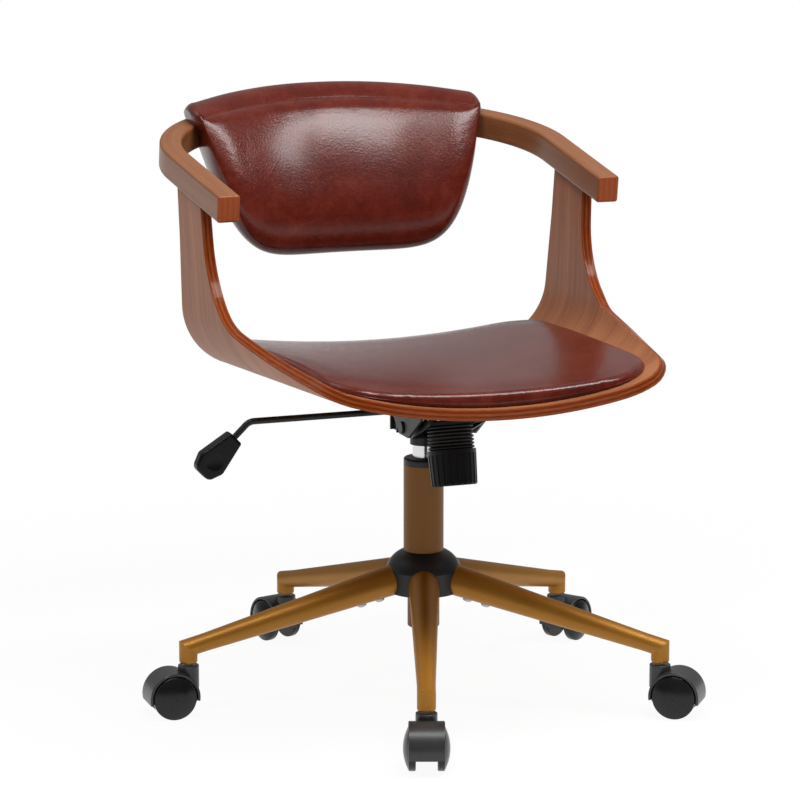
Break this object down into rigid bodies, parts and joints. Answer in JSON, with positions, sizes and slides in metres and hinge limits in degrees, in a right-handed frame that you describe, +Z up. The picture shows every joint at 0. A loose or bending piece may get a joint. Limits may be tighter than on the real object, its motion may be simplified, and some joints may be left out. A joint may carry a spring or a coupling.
{
  "type": "swivel chair",
  "caption": "Swivel desk chair: bent-plywood seat with arms, wooden arm rail carrying a padded back, gas column, tilt mechanism and a star base on twin-wheel casters.",
  "frame": {"origin": "point on the floor under the column's axis", "axes": "+Z up along the gas column, -Y the way the sitter faces, X across the seat"},
  "size_m": [0.6673, 0.7723, 0.73],
  "materials": {
    "leather": "gloss",
    "walnut": "satin",
    "rail_wood": "satin",
    "board": "matte",
    "bronze_paint": "satin",
    "black_plastic": "satin",
    "wheel_plastic": "gloss",
    "dark_steel": "matte",
    "chrome": "polished",
    "steel": "satin",
    "bush_plastic": "matte",
    "bellows_rubber": "matte"
  },
  "bodies": {
    "base": {"base_hub": "bronze_paint", "hub_cover": "black_plastic", "base_leg_1": "bronze_paint", "base_leg_2": "bronze_paint", "base_leg_3": "bronze_paint", "base_leg_4": "bronze_paint", "base_leg_5": "bronze_paint", "leg_bolts": "steel", "column_tube": "bronze_paint", "column_bush": "black_plastic", "thrust_bearing": "steel"},
    "swivel": {"piston_rod": "steel", "rod_clip": "steel"},
    "lift": {"gas_cylinder": "chrome", "tilt_housing": "dark_steel", "tilt_pivot": "dark_steel"},
    "valve": {"release_pin": "steel"},
    "lever_rocker": {"lever_bush": "bush_plastic"},
    "lever": {"lever_rod": "dark_steel", "lever_grip": "black_plastic"},
    "seat": {"seat_plate": "dark_steel", "tension_bolt": "dark_steel", "seat_bolts": "steel", "seat_shell": "walnut", "seat_board": "board", "seat_pad": "leather", "arm_rail": "rail_wood", "arm_dowels": "board", "back_pad": "leather", "back_board": "board", "back_bolts": "steel"},
    "spring_seat": {"spring_washer": "dark_steel", "tension_spring": "steel", "tension_bellows": "bellows_rubber"},
    "knob": {"tension_knob": "black_plastic"},
    "caster_1": {"caster_hood_1": "black_plastic", "caster_stem_1": "steel", "caster_axle_1": "steel"},
    "wheel_left_1": {"caster_wheel_left_1": "wheel_plastic"},
    "wheel_right_1": {"caster_wheel_right_1": "wheel_plastic"},
    "caster_2": {"caster_hood_2": "black_plastic", "caster_stem_2": "steel", "caster_axle_2": "steel"},
    "wheel_left_2": {"caster_wheel_left_2": "wheel_plastic"},
    "wheel_right_2": {"caster_wheel_right_2": "wheel_plastic"},
    "caster_3": {"caster_hood_3": "black_plastic", "caster_stem_3": "steel", "caster_axle_3": "steel"},
    "wheel_left_3": {"caster_wheel_left_3": "wheel_plastic"},
    "wheel_right_3": {"caster_wheel_right_3": "wheel_plastic"},
    "caster_4": {"caster_hood_4": "black_plastic", "caster_stem_4": "steel", "caster_axle_4": "steel"},
    "wheel_left_4": {"caster_wheel_left_4": "wheel_plastic"},
    "wheel_right_4": {"caster_wheel_right_4": "wheel_plastic"},
    "caster_5": {"caster_hood_5": "black_plastic", "caster_stem_5": "steel", "caster_axle_5": "steel"},
    "wheel_left_5": {"caster_wheel_left_5": "wheel_plastic"},
    "wheel_right_5": {"caster_wheel_right_5": "wheel_plastic"}
  },
  "joints": [
    {"name": "swivel", "type": "hinge", "parent": "base", "child": "swivel", "pos_m": [0, 0, 0.1], "axis": [0, 0, 1], "continuous": true},
    {"name": "lift", "type": "slide", "parent": "swivel", "child": "lift", "axis": [0, 0, 1], "range_m": [0, 0.08]},
    {"name": "tilt", "type": "hinge", "parent": "lift", "child": "seat", "pos_m": [0, -0.04477, 0.35326], "axis": [-1, 0, 0], "range_deg": [0, 10], "stiffness_Nm_per_rad": 60, "springref_deg": -17.19, "deforming": ["tension_bellows", "tension_spring"]},
    {"name": "lever_lift", "type": "hinge", "parent": "lift", "child": "lever_rocker", "pos_m": [-0.034, 0, 0.365], "axis": [0, 1, 0], "range_deg": [0, 6]},
    {"name": "lever_pull", "type": "slide", "parent": "lever_rocker", "child": "lever", "axis": [-1, 0, 0], "range_m": [0, 0.01]},
    {"name": "valve_press", "type": "slide", "parent": "lift", "child": "valve", "axis": [0, 0, -1], "range_m": [0, 0.0038]},
    {"name": "knob_travel", "type": "slide", "parent": "seat", "child": "spring_seat", "axis": [0, 0.2334, 0.9724], "range_m": [0, 0.0045], "deforming": ["tension_bellows", "tension_spring"]},
    {"name": "knob_turn", "type": "hinge", "parent": "spring_seat", "child": "knob", "pos_m": [0, -0.0895, 0.364], "axis": [0, 0.2334, 0.9724], "range_deg": [0, 1081]},
    {"name": "caster_swivel_1", "type": "hinge", "parent": "base", "child": "caster_1", "pos_m": [-0.10332, -0.28697, 0.066], "axis": [0, 0, 1], "continuous": true},
    {"name": "wheel_spin_left_1", "type": "hinge", "parent": "caster_1", "child": "wheel_left_1", "pos_m": [-0.11077, -0.30767, 0.027], "axis": [0.9409, -0.3387, 0], "continuous": true},
    {"name": "wheel_spin_right_1", "type": "hinge", "parent": "caster_1", "child": "wheel_right_1", "pos_m": [-0.11077, -0.30767, 0.027], "axis": [0.9409, -0.3387, 0], "continuous": true},
    {"name": "caster_swivel_2", "type": "hinge", "parent": "base", "child": "caster_2", "pos_m": [0.241, -0.18694, 0.066], "axis": [0, 0, 1], "continuous": true},
    {"name": "wheel_spin_left_2", "type": "hinge", "parent": "caster_2", "child": "wheel_left_2", "pos_m": [0.25838, -0.20042, 0.027], "axis": [0.6129, 0.7902, 0], "continuous": true},
    {"name": "wheel_spin_right_2", "type": "hinge", "parent": "caster_2", "child": "wheel_right_2", "pos_m": [0.25838, -0.20042, 0.027], "axis": [0.6129, 0.7902, 0], "continuous": true},
    {"name": "caster_swivel_3", "type": "hinge", "parent": "base", "child": "caster_3", "pos_m": [0.25226, 0.17144, 0.066], "axis": [0, 0, 1], "continuous": true},
    {"name": "wheel_spin_left_3", "type": "hinge", "parent": "caster_3", "child": "wheel_left_3", "pos_m": [0.27046, 0.1838, 0.027], "axis": [-0.5621, 0.8271, 0], "continuous": true},
    {"name": "wheel_spin_right_3", "type": "hinge", "parent": "caster_3", "child": "wheel_right_3", "pos_m": [0.27046, 0.1838, 0.027], "axis": [-0.5621, 0.8271, 0], "continuous": true},
    {"name": "caster_swivel_4", "type": "hinge", "parent": "base", "child": "caster_4", "pos_m": [-0.08509, 0.29289, 0.066], "axis": [0, 0, 1], "continuous": true},
    {"name": "wheel_spin_left_4", "type": "hinge", "parent": "caster_4", "child": "wheel_left_4", "pos_m": [-0.09123, 0.31402, 0.027], "axis": [-0.9603, -0.279, 0], "continuous": true},
    {"name": "wheel_spin_right_4", "type": "hinge", "parent": "caster_4", "child": "wheel_right_4", "pos_m": [-0.09123, 0.31402, 0.027], "axis": [-0.9603, -0.279, 0], "continuous": true},
    {"name": "caster_swivel_5", "type": "hinge", "parent": "base", "child": "caster_5", "pos_m": [-0.30485, 0.00958, 0.066], "axis": [0, 0, 1], "continuous": true},
    {"name": "wheel_spin_left_5", "type": "hinge", "parent": "caster_5", "child": "wheel_left_5", "pos_m": [-0.32684, 0.01027, 0.027], "axis": [-0.0314, -0.9995, 0], "continuous": true},
    {"name": "wheel_spin_right_5", "type": "hinge", "parent": "caster_5", "child": "wheel_right_5", "pos_m": [-0.32684, 0.01027, 0.027], "axis": [-0.0314, -0.9995, 0], "continuous": true}
  ],
  "couplings": [
    {"joint": "valve_press", "follows": "lever_lift", "m_per_rad": 0.035332},
    {"joint": "knob_turn", "follows": "knob_travel", "rad_per_m": 4188.8}
  ]
}
